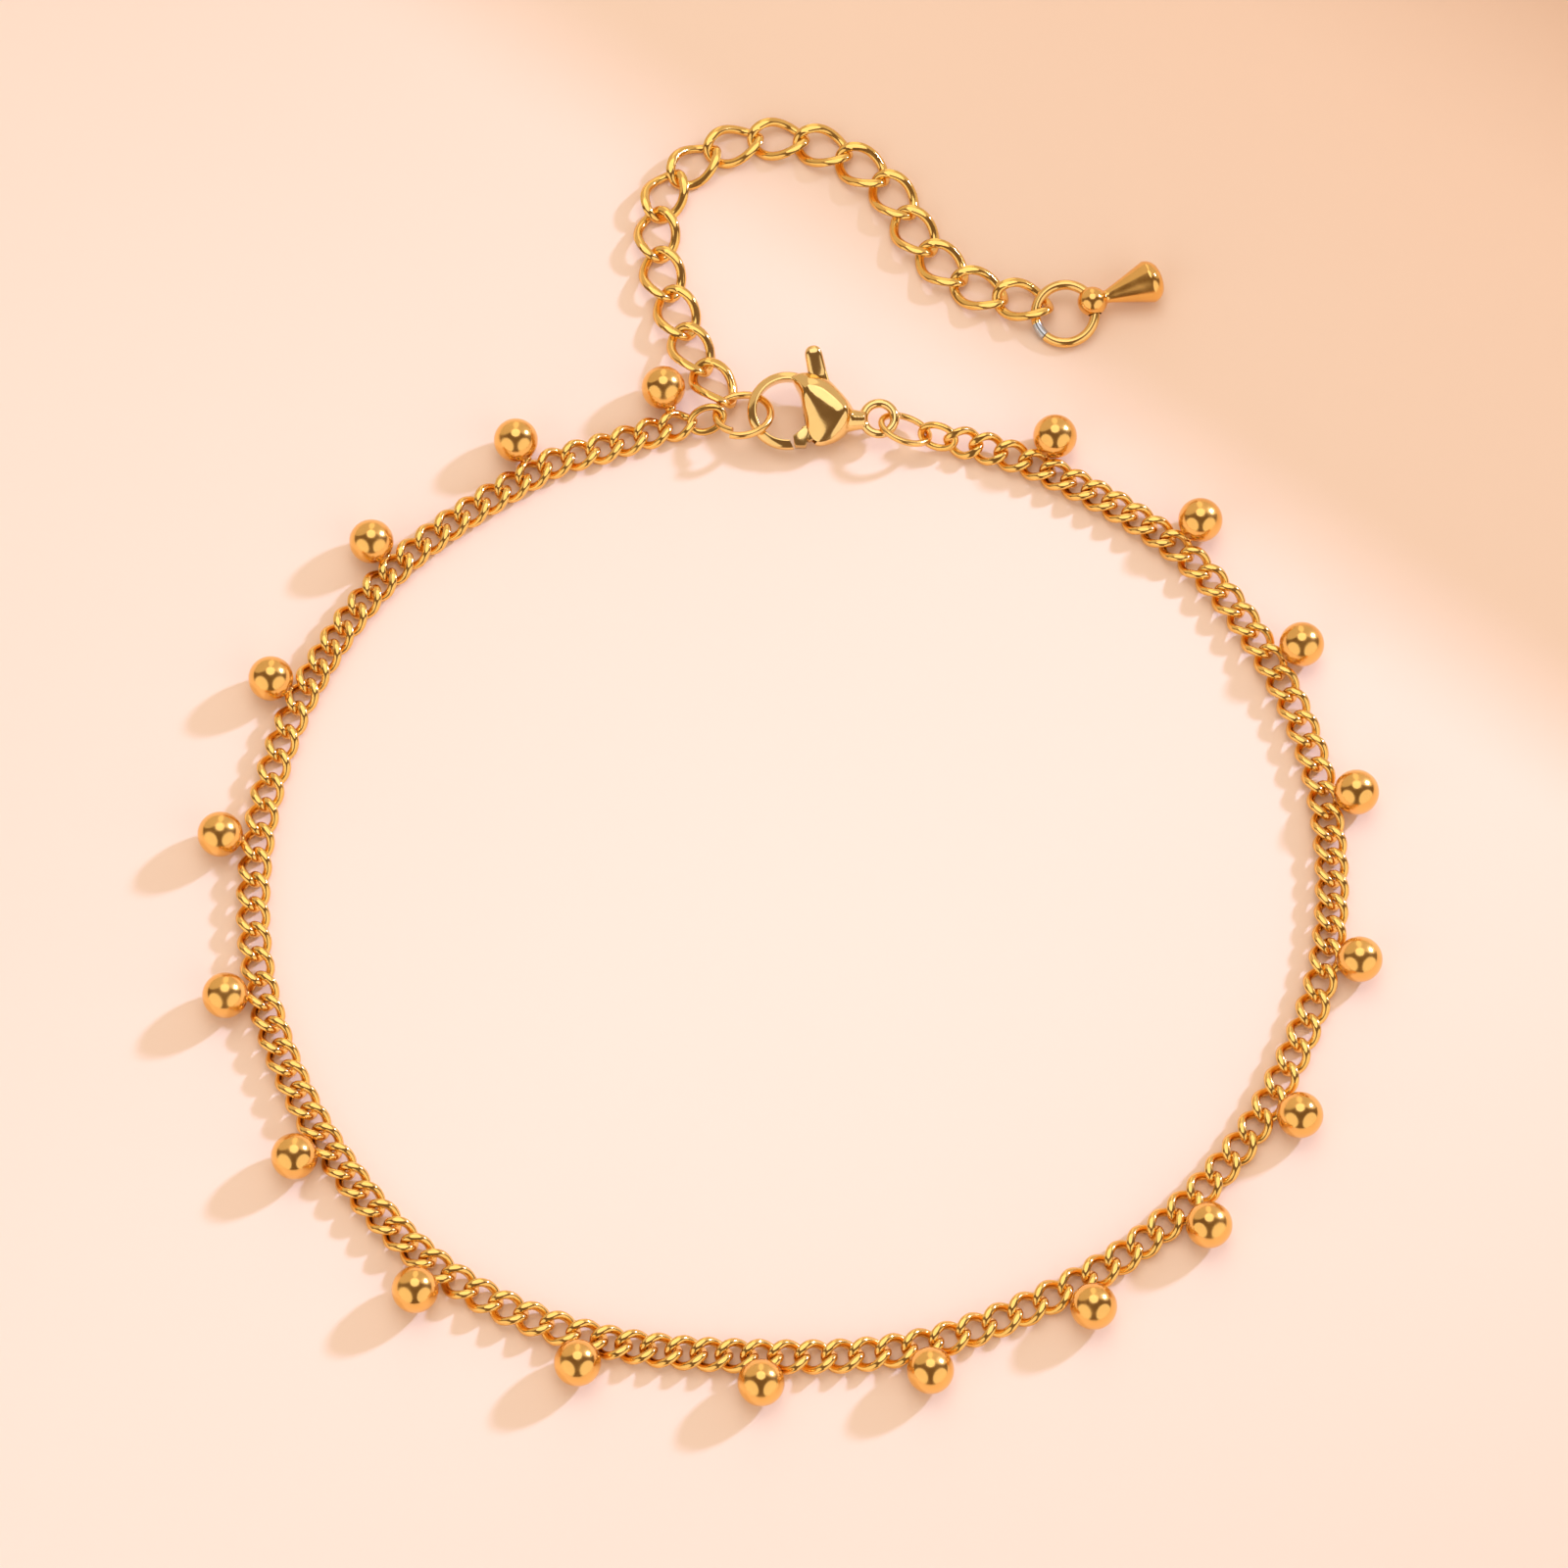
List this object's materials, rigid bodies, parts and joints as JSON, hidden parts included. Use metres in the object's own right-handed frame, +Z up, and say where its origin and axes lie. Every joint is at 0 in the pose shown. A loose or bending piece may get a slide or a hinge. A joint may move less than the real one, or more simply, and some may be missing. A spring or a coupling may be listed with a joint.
{
  "type": "charm anklet",
  "caption": "Gold-coloured curb chain anklet with round balls along its outer side, a lobster clasp, an extender chain and a small cone drop, lying closed on a table.",
  "frame": {"origin": "on the table, under the middle of the footprint of the anklet as it lies", "axes": "+Z up from the table; +Y from the loop towards the clasp and the extender; +X to the right, seen from above with the clasp at the far side"},
  "size_m": [0.078, 0.0932, 0.0031],
  "materials": {
    "polished_gold": "mirror-polished gold plate",
    "chain_gold": "bright gold-plated wire with flattened faces",
    "clasp_gold": "polished gold-plated casting",
    "ring_gold": "bright gold-plated wire, worn bare on one ring"
  },
  "bodies": {
    "anklet": {"chain": "chain_gold", "ball_01": "polished_gold", "ball_02": "polished_gold", "ball_03": "polished_gold", "ball_04": "polished_gold", "ball_05": "polished_gold", "ball_06": "polished_gold", "ball_07": "polished_gold", "ball_08": "polished_gold", "ball_09": "polished_gold", "ball_10": "polished_gold", "ball_11": "polished_gold", "ball_12": "polished_gold", "ball_13": "polished_gold", "ball_14": "polished_gold", "ball_15": "polished_gold", "ball_16": "polished_gold", "ball_17": "polished_gold", "ball_18": "polished_gold", "ball_19": "polished_gold", "clasp_body": "clasp_gold", "clasp_ring": "ring_gold", "oval_ring": "ring_gold", "end_ring": "ring_gold", "extender_01": "chain_gold", "extender_02": "chain_gold", "extender_03": "chain_gold", "extender_04": "chain_gold", "extender_05": "chain_gold", "extender_06": "chain_gold", "extender_07": "chain_gold", "extender_08": "chain_gold", "extender_09": "chain_gold", "extender_10": "chain_gold", "extender_11": "chain_gold", "extender_12": "chain_gold", "extender_13": "chain_gold", "extender_14": "chain_gold", "extender_15": "chain_gold", "extender_16": "chain_gold", "drop": "polished_gold"},
    "lever": {"lever": "clasp_gold"}
  },
  "joints": [
    {"name": "lever_hinge", "type": "hinge", "parent": "anklet", "child": "lever", "pos_m": [0.00308, 0.02257, 0.00147], "axis": [0.0188, 0.207, -0.9781], "range_deg": [0, 20], "stiffness_Nm_per_rad": 0.001}
  ]
}
